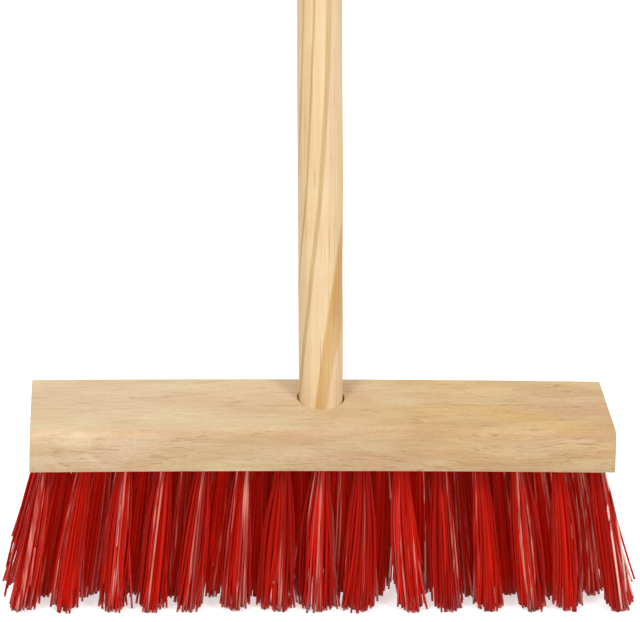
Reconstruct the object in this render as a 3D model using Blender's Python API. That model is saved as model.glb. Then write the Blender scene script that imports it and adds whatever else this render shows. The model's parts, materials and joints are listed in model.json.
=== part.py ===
"""Stiff yard broom: a sawn wooden block, a round wooden handle and rows of red plastic tufts.

Metres, +Z up. The broom stands on its tuft tips, its front faces -Y and the handle leans back to +Y.
The sizes below drive everything. The block is centred on x = 0, y = 0 while it is built, and the
whole broom is then moved so that its outer box stands centred on the origin.
"""

import math
import random

import bpy
import bmesh
from mathutils import Matrix, Vector

# Block: a planed board with its long edges eased
BLOCK_LENGTH = 0.350
BLOCK_WIDTH = 0.072
BLOCK_THICKNESS = 0.027
LONG_EDGE_RADIUS = 0.003
LONG_EDGE_SEGMENTS = 3
ARRIS_RADIUS = 0.0008

# Handle: a dowel that leans back in a flat-bottomed socket
HANDLE_DIAMETER = 0.028
HANDLE_LENGTH = 1.200
HANDLE_LEAN = math.radians(30.0)
HANDLE_DOME_HEIGHT = 0.010
HANDLE_FOOT_CHAMFER = 0.0015
HANDLE_SIDES = 36
HANDLE_DOME_STEPS = 6
SOCKET_SETBACK = 0.0088
SOCKET_FLOOR = 0.004

# Tufts: bundles of filament folded into blind holes in the underside
TUFT_ROWS = 4
TUFTS_IN_LONG_ROW = 15
TUFT_END_MARGIN = 0.009
TUFT_SIDE_MARGIN = 0.013
TUFT_LENGTH = 0.102
TUFT_HOLE_DIAMETER = 0.0093
TUFT_HOLE_DEPTH = 0.010
TUFT_LEAN_LEFT = math.radians(9.0)
TUFT_LEAN_RIGHT = math.radians(12.5)
STRANDS_IN_TUFT = 7
STRAND_ROOT_GAP = 0.0006
STRAND_BEND_SHARES = (0.45, 1.0)
STRAND_WIDTH_SHARES = (0.86, 0.68)
STRAND_TWIST = math.radians(6.0)
TIP_SPREAD_RADIUS = 0.0066
TIP_LEAST_SPREAD_SHARE = 0.50
TIP_TRIM = 0.0005
TUFT_SEED = 41

# Screw that holds the handle in its socket, driven in from the back edge of the block
SCREW_LENGTH = 0.038
SCREW_SHANK_DIAMETER = 0.0040
SCREW_HEAD_DIAMETER = 0.0078
SCREW_HEAD_RIM = 0.0006
SCREW_POINT_LENGTH = 0.006
SCREW_SUNK = 0.0005
SCREW_SIDES = 20
SCREW_SLOT_WIDTH = 0.0012
SCREW_SLOT_DEPTH = 0.0011

# Fits
FIT_GAP = 0.0003
LEAST_WALL = 0.0008
CUT_OVERRUN = 0.004
MERGE_DISTANCE = 0.00001
SMOOTH_ANGLE = math.radians(35.0)

# Worked out from the sizes above
UNDERSIDE_HEIGHT = TUFT_LENGTH
BLOCK_TOP_HEIGHT = UNDERSIDE_HEIGHT + BLOCK_THICKNESS
HANDLE_RADIUS = HANDLE_DIAMETER / 2
SOCKET_RADIUS = HANDLE_RADIUS + FIT_GAP
HANDLE_AXIS = Vector((0, math.sin(HANDLE_LEAN), math.cos(HANDLE_LEAN)))
SOCKET_FLOOR_HEIGHT = UNDERSIDE_HEIGHT + SOCKET_FLOOR + SOCKET_RADIUS * math.sin(HANDLE_LEAN)
SOCKET_DEPTH = (BLOCK_TOP_HEIGHT - SOCKET_FLOOR_HEIGHT) / math.cos(HANDLE_LEAN)
SOCKET_MOUTH = Vector((0, SOCKET_SETBACK, BLOCK_TOP_HEIGHT))
SOCKET_BOTTOM = SOCKET_MOUTH - HANDLE_AXIS * SOCKET_DEPTH
HANDLE_FOOT = SOCKET_BOTTOM + HANDLE_AXIS * FIT_GAP
TUFT_HOLE_RADIUS = TUFT_HOLE_DIAMETER / 2
TUFT_PITCH = (BLOCK_LENGTH - 2 * TUFT_END_MARGIN) / (TUFTS_IN_LONG_ROW - 1)
TUFT_ROW_PITCH = (BLOCK_WIDTH - 2 * TUFT_SIDE_MARGIN) / (TUFT_ROWS - 1)
TUFT_ROOT_RADIUS = TUFT_HOLE_RADIUS - FIT_GAP / math.cos(math.pi / STRANDS_IN_TUFT)
TUFT_ROOT_DEPTH = TUFT_HOLE_DEPTH - FIT_GAP
SCREW_HEIGHT = (UNDERSIDE_HEIGHT + TUFT_HOLE_DEPTH + BLOCK_TOP_HEIGHT) / 2
SCREW_HEAD_PLACE = Vector((0, BLOCK_WIDTH / 2 - SCREW_SUNK, SCREW_HEIGHT))

PINE = (0.86, 0.65, 0.38, 1.0)
BEECH = (0.72, 0.51, 0.29, 1.0)
RED_PLASTIC = (0.36, 0.010, 0.004, 1.0)
ZINC = (0.62, 0.60, 0.55, 1.0)


def clear_scene():
    """Remove every object that the file opened with."""
    for item in list(bpy.data.objects):
        bpy.data.objects.remove(item, do_unlink=True)


def make_material(name, colour, roughness, metallic=0.0):
    """Return a Principled material of one colour."""
    material = bpy.data.materials.new(name)
    material.use_nodes = True
    shader = material.node_tree.nodes["Principled BSDF"]
    shader.inputs["Base Color"].default_value = colour
    shader.inputs["Roughness"].default_value = roughness
    shader.inputs["Metallic"].default_value = metallic
    return material


def add_object(name, bm, root, place, material=None, turn=(0, 0, 0)):
    """Turn a finished bmesh into an object under the root, at its place and angle."""
    bmesh.ops.recalc_face_normals(bm, faces=bm.faces)
    mesh = bpy.data.meshes.new(name)
    bm.to_mesh(mesh)
    bm.free()
    if material:
        mesh.materials.append(material)
    item = bpy.data.objects.new(name, mesh)
    bpy.context.collection.objects.link(item)
    item.parent = root
    item.location = place
    item.rotation_euler = turn
    return item


def smooth(item):
    """Shade the round sides of a piece smooth and keep its corners sharp."""
    item.data.shade_smooth()
    item.data.set_sharp_from_angle(angle=SMOOTH_ANGLE)


def cut(item, cutter):
    """Take a cutter's volume out of a piece and hide the cutter."""
    boolean = item.modifiers.new(cutter.name, "BOOLEAN")
    boolean.operation = "DIFFERENCE"
    boolean.object = cutter
    cutter.hide_render = True
    cutter.display_type = "WIRE"


def turned_body(profile, sides):
    """Spin a half outline of (radius, height) points, both ends on the axis, into a closed body."""
    bm = bmesh.new()
    points = [bm.verts.new((radius, 0, height)) for radius, height in profile]
    edges = [bm.edges.new(pair) for pair in zip(points, points[1:])]
    bmesh.ops.spin(bm, geom=points + edges, cent=(0, 0, 0), axis=(0, 0, 1), angle=math.tau, steps=sides)
    bmesh.ops.remove_doubles(bm, verts=bm.verts, dist=MERGE_DISTANCE)
    return bm


def add_cylinder(bm, radius, depth, sides, matrix):
    """Add a capped cylinder that starts at the matrix's origin and runs along its +Z."""
    centred = matrix @ Matrix.Translation((0, 0, depth / 2))
    bmesh.ops.create_cone(
        bm, cap_ends=True, segments=sides, radius1=radius, radius2=radius, depth=depth, matrix=centred
    )


def add_box(bm, size, centre):
    """Add a box of the given size about a centre."""
    made = bmesh.ops.create_cube(bm, size=1)
    bmesh.ops.scale(bm, vec=size, verts=made["verts"])
    bmesh.ops.translate(bm, vec=centre, verts=made["verts"])


def tuft_lean(x):
    """Return how far a tuft leans along the block: upright in the middle, outward at the ends."""
    share = x / (BLOCK_LENGTH / 2 - TUFT_END_MARGIN)
    return share * (TUFT_LEAN_RIGHT if x > 0 else TUFT_LEAN_LEFT)


def meets_socket(x, y):
    """Tell whether a tuft hole at x, y would come within the least wall of the handle socket."""
    lean = tuft_lean(x)
    for turn in range(STRANDS_IN_TUFT * 2):
        angle = math.tau * turn / (STRANDS_IN_TUFT * 2)
        for level_share in (0, 0.5, 1):
            rise = TUFT_HOLE_DEPTH * level_share
            point = Vector((x - math.tan(lean) * rise, y, UNDERSIDE_HEIGHT + rise))
            point += Vector((math.cos(angle), math.sin(angle), 0)) * TUFT_HOLE_RADIUS
            along = (point - SOCKET_BOTTOM).dot(HANDLE_AXIS)
            off_axis = (point - SOCKET_BOTTOM - HANDLE_AXIS * along).length
            if along > -LEAST_WALL and off_axis < SOCKET_RADIUS + LEAST_WALL:
                return True
    return False


def tuft_places():
    """Return (row, number, x, y) for each tuft: staggered rows, less those under the socket."""
    places = []
    for row in range(TUFT_ROWS):
        short = row % 2
        count = TUFTS_IN_LONG_ROW - short
        y = TUFT_ROW_PITCH * (row - (TUFT_ROWS - 1) / 2)
        for index in range(count):
            x = TUFT_PITCH * (index - (count - 1) / 2)
            if not meets_socket(x, y):
                places.append((row + 1, index + 1, x, y))
    return places


def build_block(root, material):
    """Model the board with its eased long edges."""
    bm = bmesh.new()
    add_box(bm, (BLOCK_LENGTH, BLOCK_WIDTH, BLOCK_THICKNESS), (0, 0, 0))
    top_edges = [
        edge for edge in bm.edges
        if all(vert.co.z > 0 for vert in edge.verts) and abs(edge.verts[0].co.x - edge.verts[1].co.x) > 0
    ]
    bmesh.ops.bevel(
        bm, geom=top_edges, offset=LONG_EDGE_RADIUS, segments=LONG_EDGE_SEGMENTS, profile=0.5, affect="EDGES"
    )
    bottom_edges = [
        edge for edge in bm.edges
        if all(vert.co.z < 0 for vert in edge.verts) and abs(edge.verts[0].co.x - edge.verts[1].co.x) > 0
    ]
    bmesh.ops.bevel(bm, geom=bottom_edges, offset=ARRIS_RADIUS, segments=1, profile=0.5, affect="EDGES")
    centre_height = (UNDERSIDE_HEIGHT + BLOCK_TOP_HEIGHT) / 2
    block = add_object("block", bm, root, (0, 0, centre_height), material)
    smooth(block)
    return block


def build_socket_cutter(root):
    """Model the drill's volume for the handle socket: a leaning cylinder with a flat bottom."""
    bm = bmesh.new()
    depth = SOCKET_DEPTH + SOCKET_RADIUS * math.tan(HANDLE_LEAN) + CUT_OVERRUN
    add_cylinder(bm, SOCKET_RADIUS, depth, HANDLE_SIDES, Matrix())
    return add_object("socket_cutter", bm, root, SOCKET_BOTTOM, turn=(-HANDLE_LEAN, 0, 0))


def build_tuft_hole_cutter(root, places):
    """Model all tuft holes as one cutter, each hole leaning as its tuft does."""
    bm = bmesh.new()
    for _row, _number, x, y in places:
        slant = math.tan(tuft_lean(x))
        made = bmesh.ops.create_circle(bm, cap_ends=True, segments=STRANDS_IN_TUFT, radius=TUFT_HOLE_RADIUS)
        foot = Vector((x + slant * CUT_OVERRUN, y, UNDERSIDE_HEIGHT - CUT_OVERRUN))
        bmesh.ops.translate(bm, vec=foot, verts=made["verts"])
        face = made["verts"][0].link_faces[0]
        raised = bmesh.ops.extrude_face_region(bm, geom=[face])
        top = [part for part in raised["geom"] if isinstance(part, bmesh.types.BMVert)]
        rise = TUFT_HOLE_DEPTH + CUT_OVERRUN
        bmesh.ops.translate(bm, vec=(-slant * rise, 0, rise), verts=top)
    return add_object("tuft_hole_cutter", bm, root, (0, 0, 0))


def build_handle(root, material):
    """Turn the handle: a chamfered foot in the socket, a straight shaft and a domed top."""
    straight = HANDLE_LENGTH - HANDLE_DOME_HEIGHT
    profile = [
        (0, 0),
        (HANDLE_RADIUS - HANDLE_FOOT_CHAMFER, 0),
        (HANDLE_RADIUS, HANDLE_FOOT_CHAMFER),
    ]
    for step in range(HANDLE_DOME_STEPS):
        angle = math.pi / 2 * step / HANDLE_DOME_STEPS
        height = straight + HANDLE_DOME_HEIGHT * math.sin(angle)
        profile.append((HANDLE_RADIUS * math.cos(angle), height))
    profile.append((0, HANDLE_LENGTH))
    bm = turned_body(profile, HANDLE_SIDES)
    handle = add_object("handle", bm, root, HANDLE_FOOT, material, turn=(-HANDLE_LEAN, 0, 0))
    smooth(handle)
    return handle


def screw_profile(gap):
    """Return the screw's half outline from its head, heights running in from the head's face."""
    head = SCREW_HEAD_DIAMETER / 2 + gap
    shank = SCREW_SHANK_DIAMETER / 2 + gap
    cone_end = SCREW_HEAD_RIM + head - shank
    shoulder = SCREW_LENGTH - SCREW_POINT_LENGTH + gap
    return [(head, 0), (head, SCREW_HEAD_RIM), (shank, cone_end), (shank, shoulder), (0, SCREW_LENGTH + gap)]


def build_screw(root, material):
    """Turn the countersunk screw and cut the cross slot in its head."""
    bm = turned_body([(0, 0)] + screw_profile(0), SCREW_SIDES)
    turn = (math.pi / 2, 0, 0)
    screw = add_object("handle_screw", bm, root, SCREW_HEAD_PLACE, material, turn=turn)
    smooth(screw)
    arm = SCREW_SHANK_DIAMETER
    for name, size in (("slot_a", (arm, SCREW_SLOT_WIDTH)), ("slot_b", (SCREW_SLOT_WIDTH, arm))):
        slot = bmesh.new()
        add_box(slot, (*size, SCREW_SLOT_DEPTH * 2), (0, 0, 0))
        cut(screw, add_object(name, slot, root, SCREW_HEAD_PLACE, turn=turn))
    return screw


def build_screw_cutter(root):
    """Model the screw's bore with its countersink, open past the back edge of the block."""
    profile = screw_profile(FIT_GAP)
    mouth = (profile[0][0], -CUT_OVERRUN)
    bm = turned_body([(0, -CUT_OVERRUN), mouth] + profile, SCREW_SIDES)
    return add_object("screw_cutter", bm, root, SCREW_HEAD_PLACE, turn=(math.pi / 2, 0, 0))


def strand_centre(root_centre, bend_share, spread, twist, lean):
    """Return where a strand's section lies at a share of the way from root to tip."""
    drop = (TUFT_LENGTH + TIP_TRIM) * bend_share
    angle = math.atan2(root_centre.y, root_centre.x) + twist * bend_share
    root_radius = math.hypot(root_centre.x, root_centre.y)
    radius = root_radius + (spread - root_radius) * bend_share
    x = radius * math.cos(angle) + math.tan(lean) * drop
    return Vector((x, radius * math.sin(angle), -drop))


def grow_strand(bm, face, lean, chance):
    """Draw a root face down into a strand of straight stretches that thins to its tip."""
    start = face.calc_center_median()
    section = [vert.co - start for vert in face.verts]
    spread = TIP_SPREAD_RADIUS * chance.uniform(TIP_LEAST_SPREAD_SHARE, 1)
    twist = chance.uniform(-STRAND_TWIST, STRAND_TWIST)
    for bend_share, width_share in zip(STRAND_BEND_SHARES, STRAND_WIDTH_SHARES):
        face = bmesh.ops.extrude_discrete_faces(bm, faces=[face])["faces"][0]
        centre = strand_centre(start, bend_share, spread, twist, lean)
        for vert, offset in zip(face.verts, section):
            vert.co = centre + offset * width_share


def trim_tips(bm):
    """Cut the tips level with the floor and close each cut."""
    geometry = bm.verts[:] + bm.edges[:] + bm.faces[:]
    floor = (0, 0, -TUFT_LENGTH)
    cuts = bmesh.ops.bisect_plane(bm, geom=geometry, plane_co=floor, plane_no=(0, 0, -1), clear_outer=True)
    rims = [part for part in cuts["geom_cut"] if isinstance(part, bmesh.types.BMEdge)]
    bmesh.ops.holes_fill(bm, edges=rims)


def build_tuft(root, row, number, x, y, material):
    """Model a tuft: its folded root in the hole and, fused to it, the strands below the block."""
    lean = tuft_lean(x)
    chance = random.Random(TUFT_SEED + row * TUFTS_IN_LONG_ROW + number)
    bm = bmesh.new()
    bmesh.ops.create_circle(bm, cap_ends=True, cap_tris=True, segments=STRANDS_IN_TUFT, radius=TUFT_ROOT_RADIUS)
    fan = bm.faces[:]
    rim = [edge for edge in bm.edges if edge.is_boundary]
    raised = bmesh.ops.extrude_edge_only(bm, edges=rim)["geom"]
    top_verts = [part for part in raised if isinstance(part, bmesh.types.BMVert)]
    top_edges = [part for part in raised if isinstance(part, bmesh.types.BMEdge) and part.is_boundary]
    rise = Vector((-math.tan(lean) * TUFT_ROOT_DEPTH, 0, TUFT_ROOT_DEPTH))
    bmesh.ops.translate(bm, vec=rise, verts=top_verts)
    bmesh.ops.holes_fill(bm, edges=top_edges)
    bmesh.ops.inset_individual(bm, faces=fan, thickness=STRAND_ROOT_GAP / 2)
    for face in fan:
        grow_strand(bm, face, lean, chance)
    trim_tips(bm)
    name = f"tuft_row{row}_{number:02d}"
    return add_object(name, bm, root, (x, y, UNDERSIDE_HEIGHT), material)


def centre_on_origin(root, pieces):
    """Move the broom so that its outer box stands on the floor, centred on the origin."""
    bpy.context.view_layer.update()
    graph = bpy.context.evaluated_depsgraph_get()
    corners = []
    for piece in pieces:
        seen = piece.evaluated_get(graph)
        corners += [piece.matrix_world @ vert.co for vert in seen.data.vertices]
    middle_x = (min(corner.x for corner in corners) + max(corner.x for corner in corners)) / 2
    middle_y = (min(corner.y for corner in corners) + max(corner.y for corner in corners)) / 2
    root.location = (-middle_x, -middle_y, 0)


def main():
    """Build the broom."""
    clear_scene()
    root = bpy.data.objects.new("broom", None)
    bpy.context.collection.objects.link(root)

    block_wood = make_material("block_wood", BEECH, 0.62)
    handle_wood = make_material("handle_wood", PINE, 0.55)
    filament = make_material("filament", RED_PLASTIC, 0.32)
    zinc = make_material("zinc", ZINC, 0.35, 1.0)

    places = tuft_places()
    block = build_block(root, block_wood)
    handle = build_handle(root, handle_wood)
    screw = build_screw(root, zinc)
    tufts = [build_tuft(root, *place, filament) for place in places]

    screw_cutter = build_screw_cutter(root)
    cut(block, build_socket_cutter(root))
    cut(block, build_tuft_hole_cutter(root, places))
    cut(block, screw_cutter)
    cut(handle, screw_cutter)

    centre_on_origin(root, [block, handle, screw] + tufts)
    print("tufts", len(tufts), "strands", len(tufts) * STRANDS_IN_TUFT)


main()
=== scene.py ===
"""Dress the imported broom: a hardwood block, a pine handle, red filament tufts and a steel screw.

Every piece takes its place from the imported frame, in metres, so nothing is fitted afterwards.
"""

import json
import logging
import math
import random
from dataclasses import dataclass
from enum import Enum
from functools import cache
from typing import Callable, Iterable

import bmesh
import bpy
from mathutils import Matrix, Vector

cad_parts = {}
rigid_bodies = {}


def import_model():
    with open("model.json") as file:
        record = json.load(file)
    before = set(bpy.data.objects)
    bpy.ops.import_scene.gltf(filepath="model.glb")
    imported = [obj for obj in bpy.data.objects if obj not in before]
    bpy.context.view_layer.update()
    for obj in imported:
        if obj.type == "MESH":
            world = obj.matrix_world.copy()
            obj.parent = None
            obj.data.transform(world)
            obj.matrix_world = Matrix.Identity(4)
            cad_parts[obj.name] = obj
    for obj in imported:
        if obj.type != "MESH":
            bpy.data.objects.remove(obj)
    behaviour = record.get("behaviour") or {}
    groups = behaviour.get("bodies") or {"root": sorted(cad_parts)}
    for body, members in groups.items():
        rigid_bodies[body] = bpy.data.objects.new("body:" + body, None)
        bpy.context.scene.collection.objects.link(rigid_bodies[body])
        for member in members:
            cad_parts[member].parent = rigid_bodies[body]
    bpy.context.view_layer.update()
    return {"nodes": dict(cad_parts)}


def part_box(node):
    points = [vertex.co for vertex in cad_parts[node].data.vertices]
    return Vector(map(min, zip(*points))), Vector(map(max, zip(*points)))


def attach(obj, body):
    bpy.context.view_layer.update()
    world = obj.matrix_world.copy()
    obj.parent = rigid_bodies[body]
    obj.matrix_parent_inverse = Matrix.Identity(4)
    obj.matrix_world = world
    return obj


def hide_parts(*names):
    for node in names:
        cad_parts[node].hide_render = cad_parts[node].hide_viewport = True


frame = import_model()

log = logging.getLogger("broom")

Colour = tuple[float, float, float, float]
Span = tuple[float, float]
Triple = tuple[float, float, float]
EdgeTest = Callable[[Vector, Vector], bool]
Inputs = dict[str | int, object]

WHITE: Colour = (1.0, 1.0, 1.0, 1.0)
BLACK: Colour = (0.0, 0.0, 0.0, 1.0)
NOISE_MIDDLE = 0.5
GOLDEN_ANGLE = math.radians(137.5)


def srgb(red: int, green: int, blue: int) -> Colour:
    """Turn an eight-bit display colour into the linear colour that shaders use.

    Args:
        red: Red from 0 to 255.
        green: Green from 0 to 255.
        blue: Blue from 0 to 255.

    Returns:
        The linear colour with full alpha.
    """

    def linear(level: int) -> float:
        """Undo the display curve for one channel."""
        value = level / 255
        return value / 12.92 if value <= 0.04045 else ((value + 0.055) / 1.055) ** 2.4

    return (linear(red), linear(green), linear(blue), 1.0)


class Slot(Enum):
    """The record's material slots."""

    BLOCK = "block_wood"
    HANDLE = "handle_wood"
    FILAMENT = "filament"
    ZINC = "zinc"


class PaintedSheen(Enum):
    """Levels of polish past full gloss, by which a strand tells its finish which pale painted sheen it gets:
    painted highlights and a dim painted reflection.
    """

    DUSTY = 0.99
    STREAKED = 1.2
    BLEACHED = 1.4


class Bench:
    """The modelling steps that every piece shares, each made with the active object."""

    @staticmethod
    def clear_selection() -> None:
        """Leave edit mode and select nothing."""
        if bpy.context.object and bpy.context.object.mode != "OBJECT":
            bpy.ops.object.mode_set(mode="OBJECT")
        bpy.ops.object.select_all(action="DESELECT")

    @staticmethod
    def take(piece: bpy.types.Object) -> None:
        """Make one object the only selected and active one.

        Args:
            piece: The object.
        """
        Bench.clear_selection()
        piece.select_set(True)
        bpy.context.view_layer.objects.active = piece

    @staticmethod
    def edit(piece: bpy.types.Object, kind: str) -> bmesh.types.BMesh:
        """Open edit mode on a piece with nothing selected.

        Args:
            piece: The object to work on.
            kind: What is selected there, "EDGE" or "FACE".

        Returns:
            The piece's mesh, to select in.
        """
        Bench.take(piece)
        bpy.ops.object.mode_set(mode="EDIT")
        bpy.ops.mesh.select_mode(type=kind)
        bpy.ops.mesh.select_all(action="DESELECT")
        return bmesh.from_edit_mesh(piece.data)

    @staticmethod
    def name(piece: bpy.types.Object, name: str) -> bpy.types.Object:
        """Name an object and its mesh alike.

        Args:
            piece: The object.
            name: Its name.

        Returns:
            The same object.
        """
        piece.name = name
        piece.data.name = name
        return piece

    @staticmethod
    def cylinder(name: str, radius: float, depth: float, sides: int, place: Matrix) -> bpy.types.Object:
        """Add a capped cylinder that starts at a place and runs along that place's +Z.

        Args:
            name: The object's name.
            radius: The cylinder's radius.
            depth: Its length.
            sides: How many sides it has.
            place: Where it starts and how it is turned.

        Returns:
            The new object, active and in object mode.
        """
        Bench.clear_selection()
        bpy.ops.mesh.primitive_cylinder_add(vertices=sides, radius=radius, depth=depth, end_fill_type="NGON")
        piece = Bench.name(bpy.context.object, name)
        piece.data.transform(place @ Matrix.Translation((0, 0, depth / 2)))
        return piece

    @staticmethod
    def cube(name: str, size: Vector, centre: Vector) -> bpy.types.Object:
        """Add a box about a centre, with its size and place in its mesh.

        Args:
            name: The object's name.
            size: Its length along each axis.
            centre: Its middle.

        Returns:
            The new object, active and in object mode.
        """
        Bench.clear_selection()
        bpy.ops.mesh.primitive_cube_add(size=1)
        piece = Bench.name(bpy.context.object, name)
        piece.data.transform(Matrix.Translation(centre) @ Matrix.Diagonal((*size, 1)))
        return piece

    @staticmethod
    def bevel(piece: bpy.types.Object, width: float, segments: int, wanted: EdgeTest) -> None:
        """Round the edges that pass a test.

        Args:
            piece: The object to work on.
            width: How far the rounding reaches from the edge.
            segments: How many faces the rounding has.
            wanted: Takes an edge's two ends and says whether it is rounded.
        """
        for edge in Bench.edit(piece, "EDGE").edges:
            edge.select_set(wanted(edge.verts[0].co, edge.verts[1].co))
        bmesh.update_edit_mesh(piece.data)
        bpy.ops.mesh.bevel(offset=width, segments=segments, profile=0.5, affect="EDGES")
        bpy.ops.object.mode_set(mode="OBJECT")

    @staticmethod
    def slice_along(piece: bpy.types.Object, axis: Vector, places: Iterable[float]) -> None:
        """Cut rings into a piece square to an axis, so that it can be bent or shaped there.

        Args:
            piece: The object to work on.
            axis: The direction that the rings are square to.
            places: How far along the axis each ring lies, from the origin.
        """
        Bench.take(piece)
        bpy.ops.object.mode_set(mode="EDIT")
        for place in places:
            bpy.ops.mesh.select_all(action="SELECT")
            bpy.ops.mesh.bisect(plane_co=axis * place, plane_no=axis)
        bpy.ops.object.mode_set(mode="OBJECT")

    @staticmethod
    def subtract(piece: bpy.types.Object, cutter: bpy.types.Object) -> None:
        """Cut one object's volume out of another and delete the cutter.

        Args:
            piece: The object that keeps its place.
            cutter: The object whose volume goes.
        """
        Bench.take(piece)
        boolean = piece.modifiers.new("cut", "BOOLEAN")
        boolean.operation = "DIFFERENCE"
        boolean.solver = "EXACT"
        boolean.object = cutter
        bpy.ops.object.modifier_apply(modifier=boolean.name)
        bpy.data.objects.remove(cutter, do_unlink=True)

    @staticmethod
    def join(name: str, pieces: list[bpy.types.Object]) -> bpy.types.Object:
        """Join several objects into one.

        Args:
            name: The name of the joined object.
            pieces: The objects.

        Returns:
            The joined object.
        """
        Bench.take(pieces[0])
        for piece in pieces:
            piece.select_set(True)
        bpy.ops.object.join()
        return Bench.name(bpy.context.object, name)

    @staticmethod
    def smooth(piece: bpy.types.Object, degrees: float) -> None:
        """Shade a piece smooth apart from corners sharper than an angle."""
        Bench.take(piece)
        bpy.ops.object.shade_smooth_by_angle(angle=math.radians(degrees))

    @staticmethod
    def fit(piece: bpy.types.Object, material: bpy.types.Material, slot: Slot, node: str) -> None:
        """Dress a finished piece, let it stand for its solid and report it.

        Args:
            piece: The finished piece.
            material: Its finish.
            slot: The record's slot that the finish belongs to; not used.
            node: The solid that it stands for.
        """
        piece.data.materials.clear()
        piece.data.materials.append(material)
        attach(piece, "root")
        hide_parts(node)
        log.info("%s stands for %s, %d faces", piece.name, node, len(piece.data.polygons))


@dataclass(frozen=True)
class Reading:
    """A node's output: a value or colour over the surface, which adds and multiplies like a number."""

    sheet: "Sheet"
    socket: bpy.types.NodeSocket

    def __add__(self, other: object) -> "Reading":
        """Add a reading or a number."""
        return self.sheet.math("ADD", self, other)

    def __sub__(self, other: object) -> "Reading":
        """Take away a reading or a number."""
        return self.sheet.math("SUBTRACT", self, other)

    def __rsub__(self, other: float) -> "Reading":
        """Take this reading from a number."""
        return self.sheet.math("SUBTRACT", other, self)

    def __mul__(self, other: object) -> "Reading":
        """Multiply by a reading or a number."""
        return self.sheet.math("MULTIPLY", self, other)

    def __truediv__(self, other: object) -> "Reading":
        """Divide by a reading or a number."""
        return self.sheet.math("DIVIDE", self, other)

    def __rtruediv__(self, other: float) -> "Reading":
        """Divide a number by this reading."""
        return self.sheet.math("DIVIDE", other, self)

    def __abs__(self) -> "Reading":
        """Drop the sign."""
        return self.sheet.math("ABSOLUTE", self)


class Sheet:
    """A node tree that is filled node by node."""

    def __init__(self, tree: bpy.types.NodeTree) -> None:
        """Start on a tree."""
        self.tree = tree

    def feed(self, socket: bpy.types.NodeSocket, value: object) -> None:
        """Link a reading to an input, or set the input to a plain value.

        Args:
            socket: The input.
            value: A reading, or what the input is set to.
        """
        if isinstance(value, Reading):
            self.tree.links.new(value.socket, socket)
        else:
            socket.default_value = value

    def add(self, kind: str, inputs: Inputs | None = None, **settings: object) -> bpy.types.Node:
        """Add a node, set its properties and feed its inputs.

        Args:
            kind: The node's type name.
            inputs: Input name or number to its value or reading.
            **settings: The node's own properties.

        Returns:
            The new node.
        """
        node = self.tree.nodes.new(kind)
        for key, value in settings.items():
            setattr(node, key, value)
        for key, value in (inputs or {}).items():
            self.feed(node.inputs[key], value)
        return node

    def read(self, kind: str, output: str | int = 0, inputs: Inputs | None = None,
             **settings: object) -> Reading:
        """Add a node as add does, and read one of its outputs."""
        return Reading(self, self.add(kind, inputs, **settings).outputs[output])

    def math(self, operation: str, first: object, second: object = 0.0, clamp: bool = False) -> Reading:
        """Add a Math node and read its result."""
        return self.read("ShaderNodeMath", 0, {0: first, 1: second}, operation=operation, use_clamp=clamp)

    def vector(self, operation: str, first: object, second: object) -> Reading:
        """Add a Vector Math node and read its vector."""
        return self.read("ShaderNodeVectorMath", 0, {0: first, 1: second}, operation=operation)

    def scaled(self, vector: Reading, factor: Reading) -> Reading:
        """Scale a vector evenly."""
        return self.read("ShaderNodeVectorMath", 0, {0: vector, "Scale": factor}, operation="SCALE")

    def split(self, vector: Reading) -> list[Reading]:
        """Read a vector's X, Y and Z."""
        return [Reading(self, socket) for socket in self.add("ShaderNodeSeparateXYZ", {0: vector}).outputs]

    def mix(self, factor: object, first: object, second: object, blend: str = "MIX") -> Reading:
        """Add a colour Mix node and read its result."""
        return self.read("ShaderNodeMix", 2, {0: factor, 6: first, 7: second},
                         data_type="RGBA", blend_type=blend)

    def texture(self, vector: Reading, scale: float, detail: float, roughness: float = 0.5,
                distortion: float = 0.0) -> Reading:
        """Read a plain noise.

        Args:
            vector: The coordinates that it reads.
            scale: How many features fit in a unit of them.
            detail: The noise's octaves.
            roughness: How strong its fine octaves are.
            distortion: How much it swirls.

        Returns:
            The noise's value.
        """
        return self.read("ShaderNodeTexNoise", 0, {
            "Vector": vector, "Scale": scale, "Detail": detail, "Roughness": roughness,
            "Distortion": distortion,
        })

    def noise(self, vector: Reading, stretch: Triple, detail: float = 2.0, roughness: float = 0.5,
              distortion: float = 0.0) -> Reading:
        """Read a noise with its own number of features in a metre along each axis."""
        return self.texture(self.vector("MULTIPLY", vector, stretch), 1.0, detail, roughness, distortion)

    def ramp(self, factor: Reading, stops: list[tuple[float, Colour]]) -> Reading:
        """Add a colour ramp.

        Args:
            factor: The value that the ramp reads.
            stops: Place and colour of each stop, in order.

        Returns:
            The ramp's colour.
        """
        node = self.add("ShaderNodeValToRGB", {"Fac": factor})
        elements = node.color_ramp.elements
        while len(elements) < len(stops):
            elements.new(0.5)
        for element, (place, colour) in zip(elements, stops):
            element.position = place
            element.color = colour
        return Reading(self, node.outputs[0])

    def mask(self, value: Reading, low: float, high: float) -> Reading:
        """Spread a value between two levels smoothly over 0 to 1."""
        return self.read("ShaderNodeMapRange", 0, {0: value, 1: low, 2: high},
                         interpolation_type="SMOOTHSTEP")

    def effect(self, tree: bpy.types.NodeTree, inputs: Inputs) -> list[Reading]:
        """Place an effect group with its own values and read its outputs in order."""
        group = self.add("ShaderNodeGroup", inputs, node_tree=tree)
        return [Reading(self, socket) for socket in group.outputs]


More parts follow.
